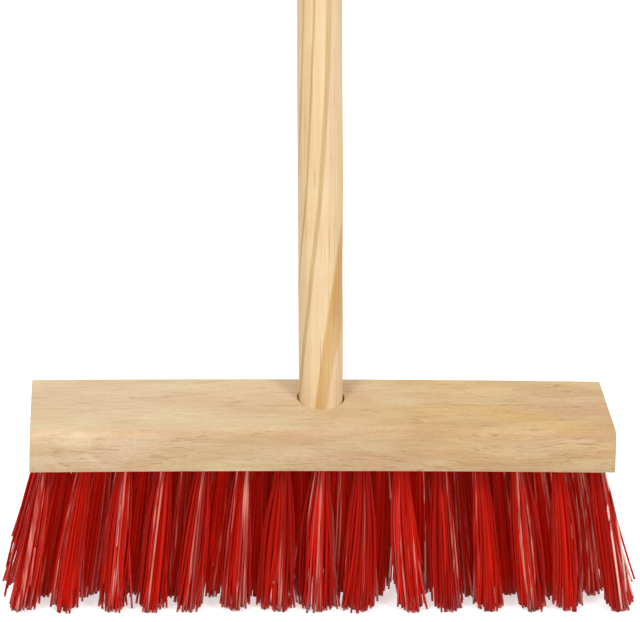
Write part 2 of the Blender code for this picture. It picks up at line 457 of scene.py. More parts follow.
class Surface(Sheet):
    """The sheet of a Principled material."""

    def __init__(self, name: str, settings: Inputs) -> None:
        """Start a material.

        Args:
            name: The material's name.
            settings: Constant values for the Principled shader's own sockets.
        """
        self.material = bpy.data.materials.new(name)
        self.material.use_nodes = True
        super().__init__(self.material.node_tree)
        self.shader = self.tree.nodes["Principled BSDF"]
        self.dress(settings)
        self.objects = self.read("ShaderNodeTexCoord", "Object")

    def dress(self, inputs: Inputs) -> None:
        """Feed the shader's own sockets by name."""
        for key, value in inputs.items():
            self.feed(self.shader.inputs[key], value)

    def raise_relief(self, height: Reading, distance: float, strength: float) -> None:
        """Feed a height into the shader's normal through a Bump node."""
        bump = {"Height": height, "Distance": distance, "Strength": strength}
        self.dress({"Normal": self.read("ShaderNodeBump", 0, bump)})

    def laid(self, place: Vector, turn: Triple) -> Reading:
        """Read coordinates in a piece's own frame, with its grain along local Z."""
        mapping = {"Vector": self.objects, "Location": place, "Rotation": turn}
        return self.read("ShaderNodeMapping", 0, mapping, vector_type="TEXTURE")


@dataclass(frozen=True)
class Pattern:
    """A noise with its own number of features in a metre along each axis, kept between two levels."""

    stretch: Triple
    low: float
    high: float
    detail: float = 2.0
    roughness: float = 0.5
    distortion: float = 0.0

    def over(self, vector: Reading) -> Reading:
        """Read the pattern as a mask from 0 to 1 over some coordinates."""
        noise = vector.sheet.noise(vector, self.stretch, self.detail, self.roughness, self.distortion)
        return vector.sheet.mask(noise, self.low, self.high)


class Effects:
    """Node groups that the finishes are mixed from, each built once."""

    BEND_STRETCH: Triple = (3.0, 3.0, 1.0)
    PORE_REACH = 0.5
    PORE_LEVEL = 0.78
    PORE_CONTRAST = 9.0
    PATCH_LEVELS: Span = (0.3, 0.7)

    @staticmethod
    def _open(name: str, vectors: tuple[str, ...], amounts: tuple[str, ...], results: tuple[str, ...]
              ) -> tuple[Sheet, dict[str, Reading], dict[str, bpy.types.NodeSocket]]:
        """Open a new group with named sockets.

        Args:
            name: The group's name.
            vectors: Names of the inputs that are coordinates or directions.
            amounts: Names of the inputs that are plain numbers.
            results: Names of the outputs, all plain numbers.

        Returns:
            The group's sheet, its inputs by name and its outputs by name.
        """
        tree = bpy.data.node_groups.new(name, "ShaderNodeTree")
        for way, kind, keys in (("INPUT", "NodeSocketVector", vectors), ("INPUT", "NodeSocketFloat", amounts),
                                ("OUTPUT", "NodeSocketFloat", results)):
            for key in keys:
                tree.interface.new_socket(key, in_out=way, socket_type=kind)
        sheet = Sheet(tree)
        given, result = sheet.add("NodeGroupInput"), sheet.add("NodeGroupOutput")
        inputs = {key: Reading(sheet, given.outputs[key]) for key in vectors + amounts}
        return sheet, inputs, {key: result.inputs[key] for key in results}

    @staticmethod
    @cache
    def growth_rings() -> bpy.types.NodeTree:
        """Build the group that lays growth rings through timber, with its grain along local Z.

        Rings are sheets square to a vector. They sway to and fro along the grain, and a slow noise bends
        them. Phase runs from 0 to 1 through each ring.

        Returns:
            The group.
        """
        sheet, given, result = Effects._open(
            "growth_rings", ("Vector", "Across"),
            ("Spacing", "Start", "Sway", "Sway Length", "Waviness", "Wave Length"), ("Phase",))
        vector = given["Vector"]
        stretched = sheet.vector("MULTIPLY", vector, Effects.BEND_STRETCH)
        slow = sheet.scaled(stretched, 1.0 / given["Wave Length"])
        bend = (sheet.texture(slow, scale=1.0, detail=2.0) - NOISE_MIDDLE) * given["Waviness"]
        sway = sheet.math("SINE", sheet.split(vector)[2] / given["Sway Length"]) * given["Sway"]
        across = sheet.read("ShaderNodeVectorMath", "Value", {0: vector, 1: given["Across"]},
                            operation="DOT_PRODUCT")
        count = (across - sway + bend + given["Start"]) / given["Spacing"]
        sheet.feed(result["Phase"], sheet.math("FRACT", count))
        return sheet.tree

    @staticmethod
    @cache
    def wood_fibres() -> bpy.types.NodeTree:
        """Build the group that draws fine fibres and short open pores along local Z.

        Returns:
            The group.
        """
        sheet, given, result = Effects._open(
            "wood_fibres", ("Vector",), ("Fibre Width", "Fibre Length", "Pore Amount"), ("Fibres", "Pores"))
        fine = 1.0 / given["Fibre Width"]
        long = 1.0 / given["Fibre Length"]
        scale = sheet.read("ShaderNodeCombineXYZ", 0, {"X": fine, "Y": fine, "Z": long})
        laid = sheet.vector("MULTIPLY", given["Vector"], scale)
        sheet.feed(result["Fibres"], sheet.texture(laid, scale=0.6, detail=4.0, roughness=0.6))
        edge = 1.0 - given["Pore Amount"] * Effects.PORE_REACH
        above = sheet.texture(laid, scale=1.3, detail=1.0) - edge * Effects.PORE_LEVEL
        sheet.feed(result["Pores"], sheet.math("MULTIPLY", above, Effects.PORE_CONTRAST, clamp=True))
        return sheet.tree

    @staticmethod
    @cache
    def soft_patches() -> bpy.types.NodeTree:
        """Build the group that draws large soft patches, for uneven tone, grime and gloss.

        Returns:
            The group.
        """
        sheet, given, result = Effects._open(
            "soft_patches", ("Vector",), ("Patch Size", "Amount"), ("Patches",))
        scaled = sheet.scaled(given["Vector"], 1.0 / given["Patch Size"])
        soft = sheet.mask(sheet.texture(scaled, scale=1.0, detail=3.0), *Effects.PATCH_LEVELS)
        sheet.feed(result["Patches"], soft * given["Amount"])
        return sheet.tree


@dataclass(frozen=True)
class PineFinish:
    """Turned pine: pale wood with broad slanting bands of darker late growth."""

    light: Colour = srgb(239, 211, 165)
    cream: Colour = srgb(238, 211, 171)
    band: Colour = srgb(212, 179, 126)
    line: Colour = srgb(202, 167, 112)
    amber: Colour = srgb(217, 176, 116)
    amber_deep: Colour = srgb(212, 168, 102)
    resin: Colour = srgb(176, 130, 78)
    fibre_shade: Colour = srgb(238, 230, 218)
    patch_shade: Colour = srgb(238, 222, 200)
    ring_spacing: float = 0.060
    ring_start: float = 0.036
    ring_across: Triple = (1.0, -0.35, 0.0)
    ring_sway: float = 0.0215
    ring_sway_length: float = 0.155
    ring_waviness: float = 0.004
    ring_wave_length: float = 0.09
    fading: Pattern = Pattern((60, 60, 14), 0.42, 0.68)
    fading_amount: float = 0.3
    fibre_width: float = 0.0009
    fibre_length: float = 0.05
    fibre_levels: Span = (0.3, 0.65)
    fibre_amount: float = 0.8
    pore_share: float = 0.3
    pore_amount: float = 0.7
    patch_size: float = 0.03
    patch_amount: float = 0.3
    ior: float = 1.45
    roughness: float = 0.52
    gloss_change: float = 0.18
    relief: Span = (0.00012, 0.4)

    def _stops(self) -> list[tuple[float, Colour]]:
        """List the bands across one ring.

        Returns:
            The place in the ring and the colour of each stop, in order.
        """
        return [
            (0.000, self.light), (0.094, self.light), (0.112, self.line), (0.134, self.light),
            (0.220, self.light), (0.232, self.line), (0.242, self.line), (0.256, self.light),
            (0.366, self.light), (0.380, self.band), (0.412, self.band), (0.426, self.cream),
            (0.613, self.light), (0.627, self.amber), (0.646, self.amber_deep), (0.676, self.amber_deep),
            (0.738, self.amber), (0.760, self.cream), (0.880, self.cream), (0.895, self.band),
            (0.915, self.light), (1.000, self.light),
        ]

    def make(self, place: Vector, turn: Triple) -> bpy.types.Material:
        """Build the material.

        Args:
            place: Where the handle leaves the block.
            turn: How its axis is turned.

        Returns:
            The finished material.
        """
        wood = Surface("pine", {"Roughness": self.roughness, "IOR": self.ior})
        grain = wood.laid(place, turn)
        phase, = wood.effect(Effects.growth_rings(), {
            "Vector": grain, "Across": self.ring_across, "Spacing": self.ring_spacing,
            "Start": self.ring_start, "Sway": self.ring_sway, "Sway Length": self.ring_sway_length,
            "Waviness": self.ring_waviness, "Wave Length": self.ring_wave_length,
        })
        bands = wood.ramp(phase, self._stops())
        bands = wood.mix(self.fading.over(grain) * self.fading_amount, bands, self.light)
        fibres, pores = wood.effect(Effects.wood_fibres(), {
            "Vector": grain, "Fibre Width": self.fibre_width, "Fibre Length": self.fibre_length,
            "Pore Amount": self.pore_share,
        })
        streaks = wood.ramp(fibres, list(zip(self.fibre_levels, (self.fibre_shade, WHITE))))
        toned = wood.mix(self.fibre_amount, bands, streaks, "MULTIPLY")
        dashed = wood.mix(pores * self.pore_amount, toned, self.resin)
        patches, = wood.effect(Effects.soft_patches(), {
            "Vector": grain, "Patch Size": self.patch_size, "Amount": self.patch_amount,
        })
        wood.dress({
            "Base Color": wood.mix(patches, dashed, self.patch_shade, "MULTIPLY"),
            "Roughness": fibres * self.gloss_change + (self.roughness - self.gloss_change / 2),
        })
        wood.raise_relief(fibres, *self.relief)
        return wood.material


@dataclass(frozen=True)
class Lay:
    """What the hardwood's finish reads of each point of the block.

    Grain has the wood's grain along local Z. Wide is narrower in depth, so that patterns are broader there,
    and laid also wanders a little to and fro. Along is the share of the block's length, and right goes from
    0 at its left end to 1. Flat is 1 on the top and underside, ends is 1 on the sawn ends, and rise says
    how far a face looks upwards. Fine says how strong the fine grain is.
    """

    wood: Surface
    centre: Vector
    grain: Reading
    wide: Reading
    laid: Reading
    along: Reading
    right: Reading
    flat: Reading
    ends: Reading
    rise: Reading
    fine: Reading


@dataclass(frozen=True)
class HardwoodFinish:
    """Planed tan hardwood: flat-sawn figure, short dark pores, paler at one end than the other.

    A share is how much of a colour is mixed in. A span after "at" says between which two shares of the
    block's length, left to right, something comes in or goes.
    """

    pale: Colour = srgb(228, 207, 168)
    tan: Colour = srgb(214, 183, 134)
    rosy: Colour = srgb(222, 185, 156)
    gold: Colour = srgb(229, 194, 126)
    late: Colour = srgb(204, 166, 122)
    pore: Colour = srgb(160, 120, 78)
    cloud: Colour = srgb(238, 224, 206)
    fleck: Colour = srgb(242, 234, 222)
    # A pale colour painted onto faces and edges, painted light on the upright faces.
    painted_pale: Colour = srgb(250, 224, 188)
    end_shade: Colour = srgb(232, 218, 202)
    fibre_shade: Colour = srgb(236, 226, 212)

    # Broad areas of colour
    drift_stretch: Triple = (30, 30, 7)
    drift_amount: float = 0.5
    tan_at: Span = (0.4, 1.2)
    broad: Triple = (1.0, 0.5, 1.0)
    aside: Triple = (0.3, 0.7, 0.165)
    rosy_areas: Pattern = Pattern((52, 52, 13), 0.42, 0.66)
    rosy_share: float = 0.8
    rosy_less_on_top: float = 0.38
    gold_areas: Pattern = Pattern((60, 60, 11), 0.44, 0.68)
    gold_at: Span = (0.55, 0.85)
    gold_share: float = 0.2
    gold_more_right: float = 0.55
    dusky_areas: Pattern = Pattern((34, 34, 8), 0.48, 0.68)
    dusky_share: float = 0.22

    # Which way a face looks, and painted light and shade on the faces and edges
    top_facing: Span = (0.75, 0.98)
    end_facing: Span = (0.75, 0.95)
    eased_facing: Span = (0.1, 0.45)
    right_at: Span = (0.1, 0.8)
    upper_from: Span = (-0.004, 0.008)
    deep_from: Span = (-0.02, 0.03)
    edge_paler: float = 0.24
    left_at: Span = (0.2, 0.02)
    left_paler: float = 0.25
    deep_paler: float = 0.14
    middle_from: Span = (0.12, 0.3)
    middle_to: Span = (0.85, 0.65)
    eased_dulled: float = 0.2
    middle_dulled: float = 0.3

    # Growth rings
    ring_spacing: float = 0.0062
    heart: Span = (-0.004, -0.052)
    heart_slope: Span = (0.02, 0.115)
    ring_sway: float = 0.022
    ring_sway_stretch: Triple = (18, 18, 9)
    early_tone: Colour = (0.08, 0.08, 0.08, 1)
    ring_rise: Span = (0.4, 0.88)
    ring_breaks: Pattern = Pattern((420, 420, 16), 0.3, 0.7, 3.0, 0.6)
    ring_share: float = 0.5

    # Fine grain
    fineness: float = 0.72
    calmer_top: float = 0.36
    less_calm_right: float = 0.27
    wander_stretch: Triple = (55, 55, 22)
    wander: float = 0.006
    fibre_width: float = 0.0010
    fibre_length: float = 0.013
    fibre_levels: Span = (0.3, 0.62)
    fibre_amount: float = 0.48
    clouds: Pattern = Pattern((130, 130, 20), 0.38, 0.62)
    cloud_amount: float = 0.8
    short_marks: Pattern = Pattern((760, 760, 44), 0.68, 0.75, distortion=0.4)
    long_marks: Pattern = Pattern((560, 560, 15), 0.66, 0.72, distortion=0.3)
    long_mark_gain: float = 1.2
    mark_share: float = 0.5
    crack_stretch: Triple = (150, 150, 8)
    crack_swirl: float = 0.3
    crack_width: Span = (0.011, 0.003)
    crack_areas: Pattern = Pattern((40, 40, 14), 0.5, 0.6)
    crack_share: float = 0.7
    specks: Pattern = Pattern((1400, 1400, 300), 0.35, 0.75)
    pore_areas: Pattern = Pattern((60, 60, 12), 0.4, 0.65)
    pore_amount: float = 0.5
    pore_share: float = 0.45
    pore_depth: float = 0.8
    ior: float = 1.42
    roughness: float = 0.6
    gloss_change: float = 0.2
    relief: Span = (0.00015, 0.5)

    def _lay(self, wood: Surface, centre: Vector, length: float) -> Lay:
        """Read each point's place and facing.

        Args:
            wood: The material's sheet.
            centre: The middle of the block.
            length: The block's length along X.

        Returns:
            The readings.
        """
        grain = wood.laid(centre, (0, math.pi / 2, 0))
        wide = wood.vector("MULTIPLY", grain, self.broad)
        wander = (wood.noise(grain, self.wander_stretch) - NOISE_MIDDLE) * self.wander
        laid = wood.vector("ADD", wide, wood.read("ShaderNodeCombineXYZ", 0, {"X": wander, "Y": wander}))
        along = wood.split(grain)[2] / length + 0.5
        right = wood.mask(along, *self.right_at)
        sideways, _, rise = wood.split(wood.read("ShaderNodeNewGeometry", "Normal"))
        flat = wood.mask(abs(rise), *self.top_facing)
        ends = wood.mask(abs(sideways), *self.end_facing)
        fine = self.fineness - flat * (self.calmer_top - right * self.less_calm_right)
        return Lay(wood, centre, grain, wide, laid, along, right, flat, ends, rise, fine)

    def _areas(self, lay: Lay) -> Reading:
        """Mix the wood's broad areas of colour.

        Args:
            lay: What the finish reads of each point.

        Returns:
            The colour.
        """
        wood = lay.wood
        drift = lay.along + wood.noise(lay.grain, self.drift_stretch) * self.drift_amount
        colour = wood.mix(wood.mask(drift, *self.tan_at), self.pale, self.tan)
        blush = self.rosy_share - lay.flat * self.rosy_less_on_top
        colour = wood.mix(self.rosy_areas.over(lay.wide) * blush, colour, self.rosy)
        aside = wood.vector("ADD", lay.wide, self.aside)
        golden = wood.mask(lay.along, *self.gold_at) * self.gold_more_right + self.gold_share
        colour = wood.mix(self.gold_areas.over(aside) * golden, colour, self.gold)
        return wood.mix(self.dusky_areas.over(aside) * self.dusky_share, colour, self.late)

    def _painted_light_and_shade(self, lay: Lay, colour: Reading) -> Reading:
        """Paint light and shade onto the block's faces and edges: the upright faces are painted paler, most
        at the upper left, the flat faces are paler towards the back, and the eased edge at the right and the
        upper middle of the upright faces get painted shade.

        Args:
            lay: What the finish reads of each point.
            colour: The wood's colour before.

        Returns:
            The colour after.
        """
        wood, along = lay.wood, lay.along
        _, depth, height = wood.split(wood.objects)
        upright = 1.0 - lay.flat
        eased = wood.mask(lay.rise, *self.eased_facing) * upright
        upper = wood.mask(height, *(lay.centre.z + level for level in self.upper_from)) * upright
        deep = wood.mask(depth, *(lay.centre.y + level for level in self.deep_from)) * lay.flat
        near_left = wood.mask(along, *self.left_at) * (upper * self.left_paler)
        # Painted light on the upright faces and edges, most at the upper left. The flat faces are also made
        # paler towards the back.
        paler = (upright - eased * lay.right) * self.edge_paler + (near_left + deep * self.deep_paler)
        middle = wood.mask(along, *self.middle_from) * wood.mask(along, *self.middle_to)
        # Painted shade on the eased edge at the right and on the upper middle of the upright faces.
        dulled = (eased * lay.right) * self.eased_dulled + (upper * middle) * self.middle_dulled
        return wood.mix(dulled, wood.mix(paler, colour, self.painted_pale), self.late)

    def _figure(self, lay: Lay) -> Reading:
        """Read how late in its growth ring each point lies, for rings round a slightly tilted heart.

        Args:
            lay: What the finish reads of each point.

        Returns:
            A mask that is 1 in late wood.
        """
        wood = lay.wood
        *sides, length = wood.split(lay.grain)
        sway = (wood.noise(lay.grain, self.ring_sway_stretch) - NOISE_MIDDLE) * self.ring_sway
        legs = []
        for side, offset, slope in zip(sides, self.heart, self.heart_slope):
            leg = side - (length * slope + offset) + sway
            legs.append(leg * leg)
        reach = wood.math("SQRT", legs[0] + legs[1])
        phase = wood.math("FRACT", reach / self.ring_spacing)
        early, full = self.ring_rise
        return wood.ramp(phase, [(0.0, BLACK), (early, self.early_tone), (full, WHITE), (1.0, BLACK)])

    def _marked(self, lay: Lay, colour: Reading) -> Reading:
        """Draw clouds, dark marks, hair cracks and specks.

        Args:
            lay: What the finish reads of each point.
            colour: The wood's colour before.

        Returns:
            The colour after.
        """
        wood, laid, fine = lay.wood, lay.laid, lay.fine
        clouds = self.clouds.over(laid) * (fine * self.cloud_amount)
        colour = wood.mix(clouds, colour, self.cloud, "MULTIPLY")
        long_marks = self.long_marks.over(laid) * self.long_mark_gain
        marks = wood.math("MAXIMUM", self.short_marks.over(laid), long_marks)
        colour = wood.mix(marks * (fine * self.mark_share), colour, self.pore)
        contour = wood.noise(laid, self.crack_stretch, distortion=self.crack_swirl) - NOISE_MIDDLE
        cracks = wood.mask(abs(contour), *self.crack_width) * self.crack_areas.over(lay.grain)
        colour = wood.mix(cracks * (fine * self.crack_share), colour, self.pore)
        return wood.mix(self.specks.over(laid) * fine, colour, self.fleck, "MULTIPLY")

    def make(self, centre: Vector, length: float) -> bpy.types.Material:
        """Build the material.

        Args:
            centre: The middle of the block.
            length: The block's length along X.

        Returns:
            The finished material.
        """
        wood = Surface("planed_hardwood", {"Roughness": self.roughness, "IOR": self.ior})
        lay = self._lay(wood, centre, length)
        colour = self._painted_light_and_shade(lay, self._areas(lay))
        late = self._figure(lay)
        rings = late * self.ring_breaks.over(lay.grain) * (lay.fine * self.ring_share)
        colour = wood.mix(rings, colour, self.late)
        fibres, pores = wood.effect(Effects.wood_fibres(), {
            "Vector": lay.laid, "Fibre Width": self.fibre_width, "Fibre Length": self.fibre_length,
            "Pore Amount": self.pore_amount,
        })
        streaks = wood.ramp(fibres, list(zip(self.fibre_levels, (self.fibre_shade, WHITE))))
        colour = wood.mix(lay.fine * self.fibre_amount, colour, streaks, "MULTIPLY")
        colour = self._marked(lay, colour)
        crowded = self.pore_areas.over(lay.grain) + late
        colour = wood.mix(pores * (crowded * self.pore_share) * lay.fine, colour, self.pore)
        wood.dress({
            "Base Color": wood.mix(lay.ends, colour, self.end_shade, "MULTIPLY"),
            "Roughness": fibres * self.gloss_change + (self.roughness - self.gloss_change / 2),
        })
        wood.raise_relief(fibres - pores * self.pore_depth, *self.relief)
        return wood.material


@dataclass(frozen=True)
class FilamentFinish:
    """Extruded red plastic filament, slightly clear, each strand with its own depth of colour.

    Every strand carries its tone, from deep to bright, which also holds painted fill light, its polish, and
    how far along it each point lies.
    A polish past full gloss is one of the levels of pale painted sheen, painted highlights and a dim painted
    reflection.
    """

    # The tone runs from deep to bright and holds painted fill light as well as the strands' own tone.
    bright: Colour = srgb(250, 33, 11)
    deep: Colour = srgb(160, 14, 5)
    # Pale colours painted onto shiny strands: a pink painted highlight and a dim painted reflection.
    pink_highlight: Colour = srgb(246, 160, 140)
    dim_reflection: Colour = srgb(158, 100, 94)
    tip: Colour = srgb(104, 22, 18)
    frayed: Colour = srgb(222, 128, 112)
    # A bright painted highlight.
    bright_highlight: Colour = srgb(252, 206, 190)
    glint: Colour = (1.0, 0.45, 0.36, 1.0)
    # Painted light: a faint red glow, standing in for light passing through the clear filament.
    inner: Colour = (1.0, 0.02, 0.006, 1.0)
    painted_glow: float = 0.035
    ior: float = 1.5
    gloss: float = 0.22
    coat_roughness: float = 0.12
    streak_stretch: Triple = (900, 900, 35)
    streak_amount: float = 0.3
    shiny_from: Span = (0.5, 0.9)
    highlight_patches: Pattern = Pattern((300, 300, 14), 0.42, 0.62)
    highlight_share: float = 0.75
    strokes: Pattern = Pattern((260, 260, 36), 0.5, 0.56, 1.0)
    dim_below: Span = (0.02, 0.01)
    sheen_below: Span = (0.15, 0.05)
    highlight_along: Span = (0.42, 0.58)
    frayed_below: Span = (0.24, 0.26)
    cut_along: Span = (0.975, 1.0)
    coat: float = 0.45
    dull: float = 0.5
    polished: float = 0.16
    streak_gloss: float = 0.12
    scratch_stretch: Triple = (1600, 1600, 120)
    relief: Span = (0.00006, 0.3)

    @staticmethod
    def _sheen_at(polish: Reading, sheen_level: PaintedSheen, below: Span) -> Reading:
        """Read 1 on strands with a level of painted sheen or more, coming in between two steps below it."""
        return polish.sheet.mask(polish, *(sheen_level.value - step for step in below))

    def make(self) -> bpy.types.Material:
        """Build the material from each strand's tone, which holds painted fill light, its polish and its
        place along the strand.

        Returns:
            The finished material.
        """
        # The emission is painted light, a faint glow standing in for light passing through the clear
        # filament.
        plastic = Surface("red_filament", {
            "IOR": self.ior, "Specular IOR Level": self.gloss, "Specular Tint": self.glint,
            "Coat IOR": self.ior, "Coat Roughness": self.coat_roughness, "Emission Color": self.inner,
            "Emission Strength": self.painted_glow,
        })
        tone, along, polish = (plastic.read("ShaderNodeAttribute", "Fac", attribute_name=name)
                               for name in ("tone", "along", "polish"))
        streak = plastic.noise(plastic.objects, self.streak_stretch)
        # The tone holds painted fill light: strands in the rear rows and in the middles of the tufts are
        # painted brighter.
        varied = plastic.math("ADD", tone, (streak - NOISE_MIDDLE) * self.streak_amount, clamp=True)
        colour = plastic.mix(varied, self.deep, self.bright)
        shiny = plastic.mask(polish, *self.shiny_from)
        # Painted highlight in patches on shiny strands, and a dim painted reflection on the lowest level of
        # sheen.
        pale = plastic.mix(self._sheen_at(polish, PaintedSheen.DUSTY, self.dim_below), self.pink_highlight, self.dim_reflection)
        highlight_patches = shiny * (self.highlight_patches.over(plastic.objects) * self.highlight_share)
        colour = plastic.mix(highlight_patches, colour, pale)
        # Painted highlight in strokes along strands, and on the lower half of the brightest strands.
        lower_half = plastic.mask(along, *self.highlight_along)
        lower = self._sheen_at(polish, PaintedSheen.BLEACHED, self.sheen_below) * lower_half
        strokes = plastic.math("MAXIMUM", self.strokes.over(plastic.objects), lower)
        highlight_strokes = self._sheen_at(polish, PaintedSheen.STREAKED, self.sheen_below) * strokes
        colour = plastic.mix(highlight_strokes, colour, self.bright_highlight)
        cut = plastic.mix(plastic.mask(polish, *self.frayed_below), self.frayed, self.tip)
        dulling = plastic.read("ShaderNodeMapRange", 0, {
            "Value": polish, "To Min": self.dull, "To Max": self.polished,
        })
        plastic.dress({
            "Base Color": plastic.mix(plastic.mask(along, *self.cut_along), colour, cut),
            "Coat Weight": shiny * self.coat,
            "Roughness": streak * self.streak_gloss + dulling,
        })
        plastic.raise_relief(plastic.noise(plastic.objects, self.scratch_stretch), *self.relief)
        return plastic.material


@dataclass(frozen=True)
class ZincFinish:
    """Zinc-plated steel with a dull patchy sheen."""

    bright: Colour = srgb(205, 203, 196)
    dull: Colour = srgb(150, 147, 138)
    patch_size: float = 0.003
    roughness: float = 0.34
    smoothest: float = 0.26
    gloss_change: float = 0.22

    def make(self) -> bpy.types.Material:
        """Build the material.

        Returns:
            The finished material.
        """
        zinc = Surface("zinc_plate", {"Metallic": 1.0, "Roughness": self.roughness})
        patches, = zinc.effect(Effects.soft_patches(), {
            "Vector": zinc.objects, "Patch Size": self.patch_size, "Amount": 1.0,
        })
        zinc.dress({
            "Base Color": zinc.mix(patches, self.bright, self.dull),
            "Roughness": patches * self.gloss_change + self.smoothest,
        })
        return zinc.material


@dataclass(frozen=True)
class Root:
    """Where one tuft sits: its hole's inner end and mouth, and the middle of its tips."""

    node: str
    inner: Vector
    mouth: Vector
    tips: Vector

    @property
    def row(self) -> int:
        """The tuft's row, from 1 in front."""
        return int(self.node.removeprefix("tuft_row").split("_")[0])

    @property
    def number(self) -> int:
        """The tuft's place in its row, from 1 at the left."""
        return int(self.node.removeprefix("tuft_row").split("_")[1])

    @classmethod
    def read(cls, node: str, underside: float) -> "Root":
        """Read a tuft's place from its solid.

        Args:
            node: The tuft's node.
            underside: The height of the block's underside.

        Returns:
            The tuft's place.
        """
        points = {tuple(round(value, 6) for value in vert.co) for vert in frame["nodes"][node].data.vertices}
        top = max(point[2] for point in points)
        near = 0.0002

        def middle(height: float) -> Vector:
            """Average the solid's corners at one height."""
            level = [Vector(point) for point in points if abs(point[2] - height) < near]
            return sum(level, Vector()) / len(level)

        return cls(node, middle(top), middle(underside), middle(0.0))


@dataclass
class Screw:
    """The countersunk screw in the block's back edge."""

    shank_share: float = 0.51
    point_share: float = 0.06
    rim: float = 0.0006
    neck: float = 0.00242
    shoulder: float = 0.032
    rim_round: float = 0.00025
    rim_segments: int = 2
    recess_width: float = 0.0011
    recess_length: float = 0.0044
    recess_depth: float = 0.0014
    bore_gap: float = 0.00025
    bore_lead: float = 0.004
    sides: int = 40
    sharp: float = 30.0

    def __post_init__(self) -> None:
        """Take the screw's place from the frame."""
        low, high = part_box("handle_screw")
        centre = (low + high) / 2
        self.head_radius = (high.x - low.x) / 2
        self.length = high.y - low.y
        self.place = Matrix.Translation((centre.x, high.y, centre.z)) @ Matrix.Rotation(math.pi / 2, 4, "X")

    def _turned(self, name: str, gap: float, lead: float) -> bpy.types.Object:
        """Shape head, cone, shank and point from one cylinder, with +Z into the wood.

        Args:
            name: The object's name.
            gap: How much it is larger than the screw all round.
            lead: How far it starts in front of the head's face.

        Returns:
            The turned solid.
        """
        radius = self.head_radius + gap
        depth = lead + self.length + gap
        piece = Bench.cylinder(name, radius, depth, self.sides, Matrix.Translation((0, 0, -lead)))
        Bench.slice_along(piece, Vector((0, 0, 1)), [self.rim, self.neck, self.shoulder])
        shank = (self.head_radius * self.shank_share + gap) / radius
        for vert in piece.data.vertices:
            share = 1.0
            if vert.co.z > (self.rim + self.neck) / 2:
                share = shank
            if vert.co.z > (self.shoulder + self.length) / 2:
                share = self.point_share
            vert.co.x *= share
            vert.co.y *= share
        return piece

    def bore(self) -> bpy.types.Object:
        """Model a cutter for the hole that the screw sits in.

        Returns:
            The cutter.
        """
        cutter = self._turned("bore", self.bore_gap, self.bore_lead)
        cutter.data.transform(self.place)
        return cutter

    def _rim_edge(self, a: Vector, b: Vector) -> bool:
        """Test for an edge round the head's face."""
        return max(a.z, b.z) < self.rim / 2

    def build(self) -> bpy.types.Object:
        """Shape the screw and cut its cross recess.

        Returns:
            The finished screw, its head facing the back.
        """
        piece = self._turned("steel_screw", 0.0, 0.0)
        Bench.bevel(piece, self.rim_round, self.rim_segments, self._rim_edge)
        for size in ((self.recess_length, self.recess_width), (self.recess_width, self.recess_length)):
            Bench.subtract(piece, Bench.cube("recess", Vector((*size, self.recess_depth * 2)), Vector()))
        piece.data.transform(self.place)
        Bench.smooth(piece, self.sharp)
        return piece


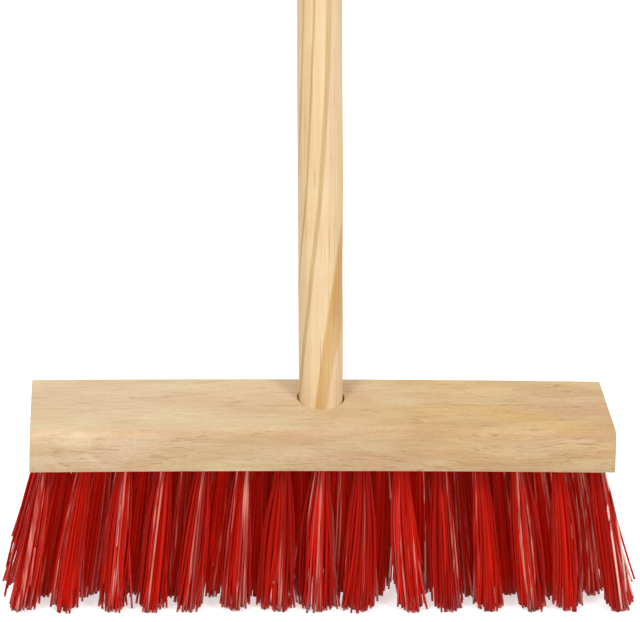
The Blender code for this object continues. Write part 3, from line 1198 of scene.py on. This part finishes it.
@dataclass
class Block:
    """The board: long edges eased, a slight bow, a leaning socket and the tuft holes."""

    front_radius: float = 0.006
    front_segments: int = 6
    back_radius: float = 0.0012
    back_segments: int = 4
    arris: float = 0.0007
    arris_segments: int = 2
    end_arris_share: float = 0.6
    end_arris_segments: int = 1
    bow: float = 0.0011
    saw_left: Triple = (-0.00020, -0.00025, 0.00027)
    saw_right: Triple = (0.00045, 0.00045, -0.00060)
    saw_reach: float = 0.08
    stations: int = 28
    hole_radius: float = 0.0049
    hole_sides: int = 16
    socket_radius: float = 0.01442
    socket_depth: float = 0.045
    socket_sides: int = 64
    overrun: float = 0.004
    sharp: float = 32.0

    def __post_init__(self) -> None:
        """Take the block's place from the frame."""
        self.low, self.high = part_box("block")
        self.centre = (self.low + self.high) / 2
        self.size = self.high - self.low

    def _bend(self, piece: bpy.types.Object) -> None:
        """Raise the middle of the board a little, as timber bows, and skew its ends as a quick saw cut does.

        Args:
            piece: The board.
        """
        half = self.size / 2
        for vert in piece.data.vertices:
            share, deep, tall = ((vert.co[axis] - self.centre[axis]) / half[axis] for axis in range(3))
            offset, by_depth, by_height = self.saw_right if share > 0 else self.saw_left
            near_end = max(0.0, 1 - (1 - abs(share)) / self.saw_reach)
            vert.co.x += (offset + by_depth * deep + by_height * tall) * near_end
            vert.co.z += self.bow * (1 - share * share)

    def _hole_cutter(self, roots: list[Root]) -> bpy.types.Object:
        """Model one cutter for all the tuft holes, each along its own tuft's root.

        Args:
            roots: The tufts' places.

        Returns:
            The cutter.
        """
        cutters = []
        for root in roots:
            run = root.inner - root.mouth
            turn = run.to_track_quat("Z", "Y").to_matrix().to_4x4()
            place = Matrix.Translation(root.mouth - run.normalized() * self.overrun) @ turn
            depth = run.length + self.overrun
            cutters.append(Bench.cylinder("hole", self.hole_radius, depth, self.hole_sides, place))
        return Bench.join("holes", cutters)

    def _long_edge(self, level: float, face: float) -> EdgeTest:
        """Make a test for an edge that runs along the block.

        Args:
            level: The edge's height.
            face: Where it lies in depth.

        Returns:
            The test.
        """

        def wanted(a: Vector, b: Vector) -> bool:
            """Test one edge."""
            near = all(abs(end.z - level) < self.arris and abs(end.y - face) < self.arris for end in (a, b))
            return near and abs(a.x - b.x) > self.arris

        return wanted

    def _end_edge(self, a: Vector, b: Vector) -> bool:
        """Test for an edge round one of the sawn ends."""
        near = self.arris / 2
        return any(abs(a.x - x) < near and abs(b.x - x) < near for x in (self.low.x, self.high.x))

    def build(self, roots: list[Root], socket: Matrix, screw: Screw) -> bpy.types.Object:
        """Shape the board.

        Args:
            roots: The tufts' places.
            socket: The bottom of the handle's socket, with +Z along the handle.
            screw: The screw that enters from the back.

        Returns:
            The finished board.
        """
        piece = Bench.cube("timber_block", self.size, self.centre)
        step = self.size.x / self.stations
        Bench.slice_along(piece, Vector((1, 0, 0)), [self.low.x + step * n for n in range(1, self.stations)])
        top, bottom = self.high.z, self.low.z
        front, back = self.low.y, self.high.y
        for level, face, radius, segments in (
            (top, front, self.front_radius, self.front_segments),
            (top, back, self.back_radius, self.back_segments),
            (bottom, front, self.arris, self.arris_segments),
            (bottom, back, self.arris, self.arris_segments),
        ):
            Bench.bevel(piece, radius, segments, self._long_edge(level, face))
        Bench.bevel(piece, self.arris * self.end_arris_share, self.end_arris_segments, self._end_edge)
        Bench.subtract(piece, self._hole_cutter(roots))
        cutter = Bench.cylinder("socket", self.socket_radius, self.socket_depth, self.socket_sides, socket)
        Bench.subtract(piece, cutter)
        self._bend(piece)
        Bench.subtract(piece, screw.bore())
        Bench.smooth(piece, self.sharp)
        return piece


@dataclass
class Handle:
    """The dowel: a straight shaft a little thinner at its foot, with a domed top."""

    radius: float = 0.014
    lean: float = math.radians(30.0)
    foot_shave: float = 0.0004
    shave_start: float = 0.10
    shave_reach: float = 0.15
    mouth_shave: float = 0.00022
    mouth_start: float = 0.03
    mouth_reach: float = 0.05
    foot_forward: float = 0.00025
    socket_offset: Triple = (0, 0.00084, -0.0003)
    unevenness: float = 0.0001
    waves: Triple = (26, 61, 33)
    seed: int = 5
    sides: int = 64
    rings: int = 90
    chamfer: float = 0.0015
    chamfer_segments: int = 2
    dome: float = 0.010
    dome_steps: int = 8
    sharp: float = 40.0

    def __post_init__(self) -> None:
        """Take the handle's place from the frame."""
        low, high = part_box("handle")
        self.axis = Vector((0, math.sin(self.lean), math.cos(self.lean)))
        foot_reach = (self.radius - self.chamfer) * math.sin(self.lean)
        foot_back = (self.radius - self.chamfer) * math.cos(self.lean)
        side_reach = self.chamfer * math.cos(self.lean) - self.radius * math.sin(self.lean)
        side_back = self.chamfer * math.sin(self.lean) - self.radius * math.cos(self.lean)
        self.foot = Vector(((low.x + high.x) / 2, low.y - min(-foot_back, side_back),
                            low.z - min(-foot_reach, side_reach)))
        dome_reach = math.hypot(self.dome * math.cos(self.lean), self.radius * math.sin(self.lean))
        self.straight = (high.z - self.foot.z - dome_reach) / math.cos(self.lean)
        self.place = Matrix.Translation(self.foot) @ Matrix.Rotation(-self.lean, 4, "X")

    def leaves(self, height: float) -> Vector:
        """Return the point of the axis at a height."""
        return self.foot + self.axis * ((height - self.foot.z) / self.axis.z)

    def socket(self) -> Matrix:
        """Return the bottom of the socket, with +Z along the handle."""
        return self.place @ Matrix.Translation(self.socket_offset)

    def _round_top(self, piece: bpy.types.Object) -> None:
        """Inset the top face step by step, each ring at its height on the dome.

        Args:
            piece: The upright handle.
        """
        shape = Bench.edit(piece, "FACE")
        cap = max(shape.faces, key=lambda face: face.calc_center_median().z)
        cap.select_set(True)
        bmesh.update_edit_mesh(piece.data)
        for step in range(1, self.dome_steps):
            before = math.pi / 2 * (step - 1) / self.dome_steps
            now = math.pi / 2 * step / self.dome_steps
            rise = self.dome * (math.sin(now) - math.sin(before))
            bpy.ops.mesh.inset(thickness=self.radius * (math.cos(before) - math.cos(now)), depth=rise)
        bpy.ops.object.mode_set(mode="OBJECT")

    def _shape(self, piece: bpy.types.Object) -> None:
        """Thin the foot and make the shaft a hair uneven, as a turned stick is.

        Args:
            piece: The upright handle.
        """
        chance = random.Random(self.seed)
        phases = [chance.uniform(0, math.tau) for _ in self.waves]
        for vert in piece.data.vertices:
            height = vert.co.z
            foot = self._share(height, self.shave_start, self.shave_reach)
            mouth = self._share(height, self.mouth_start, self.mouth_reach)
            shave = self.foot_shave * foot + self.mouth_shave * mouth
            slow, quick, back = (self.unevenness * math.sin(height * wave + phase)
                                 for wave, phase in zip(self.waves, phases))
            vert.co.x = vert.co.x * (1 - shave / self.radius) + (slow + quick)
            vert.co.y += back - self.foot_forward * foot

    @staticmethod
    def _share(height: float, full: float, none: float) -> float:
        """Return how much of the foot's wear is left at a height, from 1 below to 0 above."""
        return min(1.0, max(0.0, (none - height) / (none - full)))

    def _foot_edge(self, a: Vector, b: Vector) -> bool:
        """Test for an edge round the foot's end, while the handle is upright."""
        return max(a.z, b.z) < self.chamfer / 2

    def build(self, screw: Screw) -> bpy.types.Object:
        """Shape the handle upright and then lean it into its socket.

        Args:
            screw: The screw that holds it.

        Returns:
            The finished handle.
        """
        piece = Bench.cylinder("pine_handle", self.radius, self.straight, self.sides, Matrix())
        step = self.straight / self.rings
        Bench.slice_along(piece, Vector((0, 0, 1)), [step * n for n in range(1, self.rings)])
        Bench.bevel(piece, self.chamfer, self.chamfer_segments, self._foot_edge)
        self._round_top(piece)
        self._shape(piece)
        piece.data.transform(self.place)
        Bench.subtract(piece, screw.bore())
        Bench.smooth(piece, self.sharp)
        return piece


@dataclass(frozen=True)
class Strand:
    """One strand of a tuft, as far as it is known before its path is chosen.

    Index is its number in the tuft, place is a share of the tuft's radius, and clump is where the tips of its
    clump gather. Loose says whether it has come away sideways. Chance is the tuft's own random source.
    """

    root: Root
    index: int
    place: Vector
    clump: Vector
    loose: bool
    chance: random.Random


@dataclass
class TuftField:
    """All the tufts: bundles of thin strands that leave the block along their holes and spread.

    Shares are of a tuft's radius, of a strand's length or of the strands, as each name says.
    """

    strands: int = 54
    strand_radius: float = 0.00074
    strand_radius_range: Span = (0.9, 1.08)
    strand_sides: int = 6
    strand_rings: int = 7
    angle_jitter: float = 0.25
    root_radius: float = 0.0041
    root_start: float = 0.4
    hole_share: float = 0.08
    mouth_radius: float = 0.0041
    tip_radius: float = 0.0066
    flare: float = 0.85
    rear_flare: float = 0.45
    widening_speed: float = 2.5
    tip_depth: float = 0.75
    tip_clearance: float = 0.0001
    row_width: tuple[float, ...] = (1.22, 1.12, 1.0, 1.0)
    loosened: tuple[tuple[str, float], ...] = (("tuft_row1_07", 1.3), ("tuft_row1_08", 1.45),
                                               ("tuft_row1_09", 1.3))
    row_lean: tuple[float, ...] = (0.0022, 0.0024, 0.0, 0.0)
    row_lift: tuple[float, ...] = (0.0, 0.0019, 0.0019, 0.0019)
    edge_start: float = 0.55
    edge_lift: float = 0.0040
    edge_power: float = 1.5
    tip_jitter: float = 0.0009
    level_jitter: float = 0.0005

    clumps: int = 3
    clump_angle_jitter: Span = (0.2, 0.3)
    clump_reach: float = 0.0026
    clump_reach_range: Span = (0.5, 1.0)
    clump_level: float = 0.0014
    clump_pull: float = 0.2
    sway: float = 0.0024
    front_sway: tuple[float, ...] = (0.0009, 0.0005, 0.0043, 0.0016, -0.0014, 0.0014, 0.0012, 0.0010, -0.0016,
                                     0.0034, 0.0012, -0.0003, 0.0001, -0.0050, 0.0005)
    splayed: tuple[tuple[str, float], ...] = (("tuft_row2_07", 0.0034), ("tuft_row1_08", -0.0016))
    splay_reach: float = 0.1

    loose_ring: float = 0.5
    loose_share: float = 0.09
    loose_reach: float = 0.0042
    loose_range: Span = (0.3, 1.0)
    end_margin: float = 0.015
    outermost: float = 0.75
    stray_share: float = 0.015
    stray_reach: float = 0.011
    stray_range: Span = (0.1, 0.65)
    stray_short: Span = (0.02, 0.45)
    kink_share: float = 0.018
    kink_reach: float = 0.005
    bow: float = 0.0009

    # Painted fill light: strands in the rear rows and in the middle of each tuft are painted brighter, where
    # shade falls among them. The spread and jitter vary the tone at random.
    rear_fill: float = 0.28
    tone_spread: float = 0.15
    tone_jitter: float = 0.05
    core_fill: float = 1.6
    tone_drop: float = 0.05
    shine_spots: int = 5
    spot_ring: Span = (0.55, 1.0)
    spot_reach: float = 0.2
    shiny: Span = (0.8, 1.0)
    matt: Span = (0.0, 0.45)
    # Pale painted sheen: a dim painted reflection on loose strands, and painted highlights on strands near
    # the rim, most of them at the block's right end.
    dim_above: float = 0.3
    highlight_ring: float = 0.6
    highlight_strand_share: float = 0.01
    right_end: float = 0.5
    right_end_share: float = 0.88
    spared_every: int = 3
    seed: int = 23

    def __post_init__(self) -> None:
        """Read every tuft's place from the frame."""
        low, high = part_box("block")
        self.middle = (low.x + high.x) / 2
        self.end_reach = (high.x - low.x) / 2 - self.end_margin
        names = sorted(name for name in frame["nodes"] if name.startswith("tuft_"))
        self.roots = [Root.read(name, low.z) for name in names]

    def _master(self) -> bpy.types.Mesh:
        """Model one straight strand of unit length, with rings where it can bend and a cut tip.

        Returns:
            The strand's mesh.
        """
        piece = Bench.cylinder("strand", 1.0, 1.0, self.strand_sides, Matrix())
        places = [ring / self.strand_rings for ring in range(1, self.strand_rings)]
        Bench.slice_along(piece, Vector((0, 0, 1)), places)
        mesh = piece.data
        for polygon in mesh.polygons:
            polygon.use_smooth = abs(polygon.normal.z) < 0.5
        bpy.data.objects.remove(piece)
        return mesh

    def _clump_offsets(self, root: Root, chance: random.Random) -> list[Vector]:
        """Choose where each clump of a tuft's tips gathers, and how high it is cut.

        Args:
            root: The tuft's place.
            chance: The tuft's own random source.

        Returns:
            One offset for each clump, with its height as Z.
        """
        shift = self.front_sway[root.number - 1] if root.row == 1 else chance.uniform(-self.sway, self.sway)
        aside, turned = self.clump_angle_jitter
        offsets = []
        for clump in range(self.clumps):
            angle = math.tau * (clump + chance.uniform(-aside, aside)) / self.clumps
            angle += chance.uniform(-turned, turned)
            reach = self.clump_reach * chance.uniform(*self.clump_reach_range)
            level = self.clump_level * chance.random() ** 2
            offsets.append(Vector((math.cos(angle) * reach + shift, math.sin(angle) * reach, level)))
        return offsets

    def _tip(self, strand: Strand, wide: float) -> tuple[Vector, float]:
        """Choose where one strand ends.

        Args:
            strand: The strand.
            wide: How much wider than deep the tuft's tips are.

        Returns:
            The tip's offset from the middle of the tips, and its height above the floor.
        """
        row, chance = strand.root.row - 1, strand.chance
        ring, out = strand.place.length, strand.place.normalized()
        squared = out / max(abs(out.x), abs(out.y))
        tip = strand.clump + squared * ring * self.tip_radius * (1 - self.clump_pull)
        tip += Vector((chance.gauss(0, 1), chance.gauss(0, 1), 0)) * self.tip_jitter
        past = max(0.0, (abs(squared.x) * ring - self.edge_start) / (1 - self.edge_start))
        firm = max(0.0, 2 - dict(self.loosened).get(strand.root.node, 1.0))
        lift = self.edge_lift * past ** self.edge_power * firm
        tip.x *= wide
        tip.y = tip.y * self.tip_depth + self.row_lean[row]
        level = tip.z + abs(chance.gauss(0, 1)) * self.level_jitter + self.tip_clearance
        level += lift + self.row_lift[row]
        tip.z = 0
        if strand.loose:
            tip.x += math.copysign(self.loose_reach * chance.uniform(*self.loose_range), out.x)
        return tip, level

    def _path(self, strand: Strand) -> Callable[[float], Vector]:
        """Choose one strand's path from its place in the hole to its tip.

        Args:
            strand: The strand.

        Returns:
            A function from a share of the way to a point on the path.
        """
        root, chance = strand.root, strand.chance
        ring, out = strand.place.length, strand.place.normalized()
        start = root.inner.lerp(root.mouth, self.root_start) + out * ring * self.root_radius
        mouth = root.mouth + out * ring * self.mouth_radius
        wide = self.row_width[root.row - 1] * dict(self.loosened).get(root.node, 1.0)
        tip, level = self._tip(strand, wide)
        side_share = (root.mouth.x - self.middle) / self.end_reach
        edge = abs(side_share) > 1 and out.x * side_share > self.outermost and ring > self.outermost
        kept = 1.0
        if edge or chance.random() < self.stray_share:
            tip += out * self.stray_reach * chance.uniform(*self.stray_range)
            kept -= chance.uniform(*self.stray_short)
        side = Vector((chance.gauss(0, 1), chance.gauss(0, 1), 0)) * self.bow
        if chance.random() < self.kink_share:
            side += Vector((chance.uniform(-1, 1), -abs(chance.uniform(0, 1)), 0)) * self.kink_reach
        splay = Vector((dict(self.splayed).get(root.node, 0.0), 0, 0))
        flare = self.flare if root.row == 1 else self.rear_flare

        def point(share: float) -> Vector:
            """Follow the strand from its hole to its tip.

            Args:
                share: The share of the way.

            Returns:
                The point there.
            """
            if share < self.hole_share:
                return start.lerp(mouth, share / self.hole_share)
            t = kept * (share - self.hole_share) / (1 - self.hole_share)
            spread = self.mouth_radius + (self.tip_radius - self.mouth_radius) * t ** flare
            middle = root.mouth.lerp(root.tips + Vector((0, 0, level)), t)
            bent = out * ring * spread * (1 - t * t)
            bent.x *= 1 + (wide - 1) * min(1.0, self.widening_speed * t)
            bent += tip * t * t
            return middle + bent + side * 4 * t * (1 - t) + splay * (1 - math.exp(-t / self.splay_reach))

        return point

    def _polish(self, strand: Strand, spots: list[Vector]) -> float:
        """Choose how glossy one strand is, and which pale painted sheen it gets.

        Args:
            strand: The strand.
            spots: Where in the tuft the shiny strands stand.

        Returns:
            The polish, from 0 to 1, or a level of painted sheen.
        """
        place, chance = strand.place, strand.chance
        near_spot = min((place - spot).length for spot in spots) < self.spot_reach
        shine = chance.uniform(*(self.shiny if near_spot else self.matt))
        # Loose strands that would shine get the dim painted reflection.
        if strand.loose and shine > self.dim_above:
            shine = PaintedSheen.DUSTY.value
        # Strands near the rim get painted highlight strokes; at the block's right end most get a bright
        # painted highlight on their lower half.
        at_right_end = strand.root.mouth.x - self.middle > self.end_reach and place.x > self.right_end
        share = self.right_end_share if at_right_end else self.highlight_strand_share
        if place.length > self.highlight_ring and chance.random() < share:
            if not at_right_end:
                shine = PaintedSheen.STREAKED.value
            elif strand.index % self.spared_every > 0:
                shine = PaintedSheen.BLEACHED.value
        return shine

    @staticmethod
    def _spin(chance: random.Random) -> Matrix:
        """Choose any turn about the vertical."""
        return Matrix.Rotation(chance.uniform(0, math.tau), 3, "Z")

    def _tuft(self, root: Root, master: bpy.types.Mesh, chance: random.Random) -> bpy.types.Object:
        """Lay copies of the master strand along their paths and gather them into one piece.

        Args:
            root: The tuft's place.
            master: The straight strand.
            chance: The tuft's own random source.

        Returns:
            The tuft.
        """
        shape = bmesh.new()
        layers = [shape.verts.layers.float.new(name) for name in ("tone", "along", "polish")]
        clumps = self._clump_offsets(root, chance)
        spread = self.tone_spread
        # Painted fill light for the rear rows, plus a random tone for the whole tuft.
        behind = (0.0 if root.row == 1 else self.rear_fill) + chance.uniform(-spread, spread)
        clump_tones = [chance.uniform(-spread, spread) for _ in range(self.clumps)]
        spots = [self._spin(chance) @ Vector((chance.uniform(*self.spot_ring), 0, 0))
                 for _ in range(self.shine_spots)]
        for index in range(self.strands):
            first = len(shape.verts)
            shape.from_mesh(master)
            shape.verts.ensure_lookup_table()
            angle = (index * GOLDEN_ANGLE + chance.uniform(-self.angle_jitter, self.angle_jitter)) % math.tau
            ring = math.sqrt((index + 0.5) / self.strands)
            clump = int(angle / math.tau * self.clumps)
            place = Vector((math.cos(angle), math.sin(angle), 0)) * ring
            loose = ring > self.loose_ring and chance.random() < self.loose_share
            strand = Strand(root, index, place, clumps[clump], loose, chance)
            path = self._path(strand)
            own = clump_tones[clump] + chance.uniform(-self.tone_jitter, self.tone_jitter)
            # Strands nearer the tuft's middle are painted brighter, painted fill light where shade falls
            # among them.
            tone = min(1.0, max(0.0, (1 - ring) * self.core_fill - self.tone_drop + behind + own))
            shine = self._polish(strand, spots)
            radius = self.strand_radius * chance.uniform(*self.strand_radius_range)
            spin = self._spin(chance)
            for vert in shape.verts[first:]:
                share = vert.co.z
                vert.co = path(share) + spin @ Vector((vert.co.x, vert.co.y, 0)) * radius
                for layer, value in zip(layers, (tone, share, shine)):
                    vert[layer] = value
        name = root.node.replace("tuft", "bristles")
        mesh = bpy.data.meshes.new(name)
        bmesh.ops.recalc_face_normals(shape, faces=shape.faces)
        shape.to_mesh(mesh)
        shape.free()
        piece = bpy.data.objects.new(name, mesh)
        bpy.context.scene.collection.objects.link(piece)
        return piece

    def build(self) -> list[tuple[Root, bpy.types.Object]]:
        """Make every tuft.

        Returns:
            Each tuft's place with its piece.
        """
        master = self._master()
        chance = random.Random(self.seed)
        made = [(root, self._tuft(root, master, random.Random(chance.random()))) for root in self.roots]
        bpy.data.meshes.remove(master)
        return made


@dataclass
class Studio:
    """A white floor, a white surround, two soft lamps in front and the camera of the photograph."""

    eye: Vector = Vector((-0.1274, -1.5009, 0.7616))
    yaw: float = math.radians(4.727)
    pitch: float = math.radians(24.040)
    roll: float = math.radians(2.209)
    focal_pixels: float = 2770.9
    picture_width: float = 640.0
    sensor: float = 36.0
    farthest: float = 200.0
    floor_size: float = 60.0
    floor_paint: Colour = (0.86, 0.86, 0.86, 1)
    floor_lift: float = 0.58
    ambient: float = 0.57
    lamp_size: float = 0.6
    lamp_power: float = 21.3
    lamp_places: tuple[tuple[str, Triple], ...] = (("lamp_left", (-1.15, -1.2, 2.1)),
                                                   ("lamp_right", (1.2, -1.2, 2.1)))

    def camera(self, block: Block) -> None:
        """Place the camera, measured from the middle of the block's underside.

        Args:
            block: The block.
        """
        anchor = Vector((block.centre.x, block.centre.y, block.low.z))
        forward = Vector((math.sin(self.yaw) * math.cos(self.pitch),
                          math.cos(self.yaw) * math.cos(self.pitch), -math.sin(self.pitch)))
        right = Vector((math.cos(self.yaw), -math.sin(self.yaw), 0))
        up = right.cross(forward)
        right_rolled = right * math.cos(self.roll) + up * math.sin(self.roll)
        up_rolled = up * math.cos(self.roll) - right * math.sin(self.roll)
        turn = Matrix((right_rolled, up_rolled, -forward)).transposed().to_4x4()
        data = bpy.data.cameras.new("camera")
        data.sensor_fit = "HORIZONTAL"
        data.sensor_width = self.sensor
        data.lens = self.focal_pixels * self.sensor / self.picture_width
        data.clip_end = self.farthest
        camera = bpy.data.objects.new("camera", data)
        camera.matrix_world = Matrix.Translation(anchor + self.eye) @ turn
        bpy.context.scene.collection.objects.link(camera)
        bpy.context.scene.camera = camera

    def _seen_directly(self, sheet: Sheet) -> Reading:
        """Read 1 for rays from the camera, from gloss and through glass, and 0 for others.

        Args:
            sheet: The sheet of the floor or the surround.

        Returns:
            The reading.
        """
        path = sheet.add("ShaderNodeLightPath")
        camera, gloss, glass = (Reading(sheet, path.outputs[f"Is {kind} Ray"])
                                for kind in ("Camera", "Glossy", "Transmission"))
        return sheet.math("MAXIMUM", sheet.math("MAXIMUM", camera, gloss), glass)

    def world(self) -> None:
        """Make the surround white to the camera and an even soft light to the object."""
        world = bpy.data.worlds.new("surround")
        bpy.context.scene.world = world
        world.use_nodes = True
        sheet = Sheet(world.node_tree)
        background = world.node_tree.nodes["Background"]
        background.inputs["Color"].default_value = WHITE
        level = self._seen_directly(sheet) * (1 - self.ambient) + self.ambient
        sheet.feed(background.inputs["Strength"], level)

    def floor(self) -> None:
        """Lay a white floor that keeps the broom's soft shadow and can't be seen from below."""
        Bench.clear_selection()
        bpy.ops.mesh.primitive_plane_add(size=self.floor_size)
        floor = Bench.name(bpy.context.object, "floor")
        material = bpy.data.materials.new("white_floor")
        material.use_nodes = True
        material.node_tree.nodes.clear()
        sheet = Sheet(material.node_tree)
        paint = sheet.read("ShaderNodeBsdfDiffuse", 0, {"Color": self.floor_paint})
        strength = self._seen_directly(sheet) * self.floor_lift
        lift = sheet.read("ShaderNodeEmission", 0, {"Color": WHITE, "Strength": strength})
        lit = sheet.read("ShaderNodeAddShader", 0, {0: paint, 1: lift})
        clear = sheet.read("ShaderNodeBsdfTransparent")
        back = sheet.read("ShaderNodeNewGeometry", "Backfacing")
        mixed = sheet.read("ShaderNodeMixShader", 0, {0: back, 1: lit, 2: clear})
        sheet.add("ShaderNodeOutputMaterial", {"Surface": mixed})
        floor.data.materials.append(material)

    def lamp(self, name: str, place: Vector, aim: Vector) -> None:
        """Hang one square soft lamp.

        Args:
            name: The lamp's name.
            place: Where it hangs.
            aim: What it points at.
        """
        data = bpy.data.lights.new(name, "AREA")
        data.shape = "SQUARE"
        data.size = self.lamp_size
        data.energy = self.lamp_power
        lamp = bpy.data.objects.new(name, data)
        lamp.location = place
        lamp.rotation_mode = "QUATERNION"
        lamp.rotation_quaternion = (aim - place).to_track_quat("-Z", "Y")
        bpy.context.scene.collection.objects.link(lamp)

    def build(self, block: Block) -> None:
        """Set up everything round the broom.

        Args:
            block: The block, which the lamps point at.
        """
        bpy.context.scene.view_settings.view_transform = "Standard"
        self.camera(block)
        self.world()
        self.floor()
        for name, offset in self.lamp_places:
            self.lamp(name, block.centre + Vector(offset), block.centre)


def main() -> None:
    """Build and dress the broom, then light it."""
    logging.basicConfig(level=logging.INFO, format="%(message)s")
    Bench.clear_selection()
    field = TuftField()
    block = Block()
    handle = Handle()
    screw = Screw()

    hardwood = HardwoodFinish().make(block.centre, block.size.x)
    Bench.fit(block.build(field.roots, handle.socket(), screw), hardwood, Slot.BLOCK, "block")
    pine = PineFinish().make(handle.leaves(block.high.z), (-handle.lean, 0, 0))
    Bench.fit(handle.build(screw), pine, Slot.HANDLE, "handle")
    Bench.fit(screw.build(), ZincFinish().make(), Slot.ZINC, "handle_screw")
    red = FilamentFinish().make()
    for root, tuft in field.build():
        Bench.fit(tuft, red, Slot.FILAMENT, root.node)

    Studio().build(block)


if __name__ == "__main__":
    main()
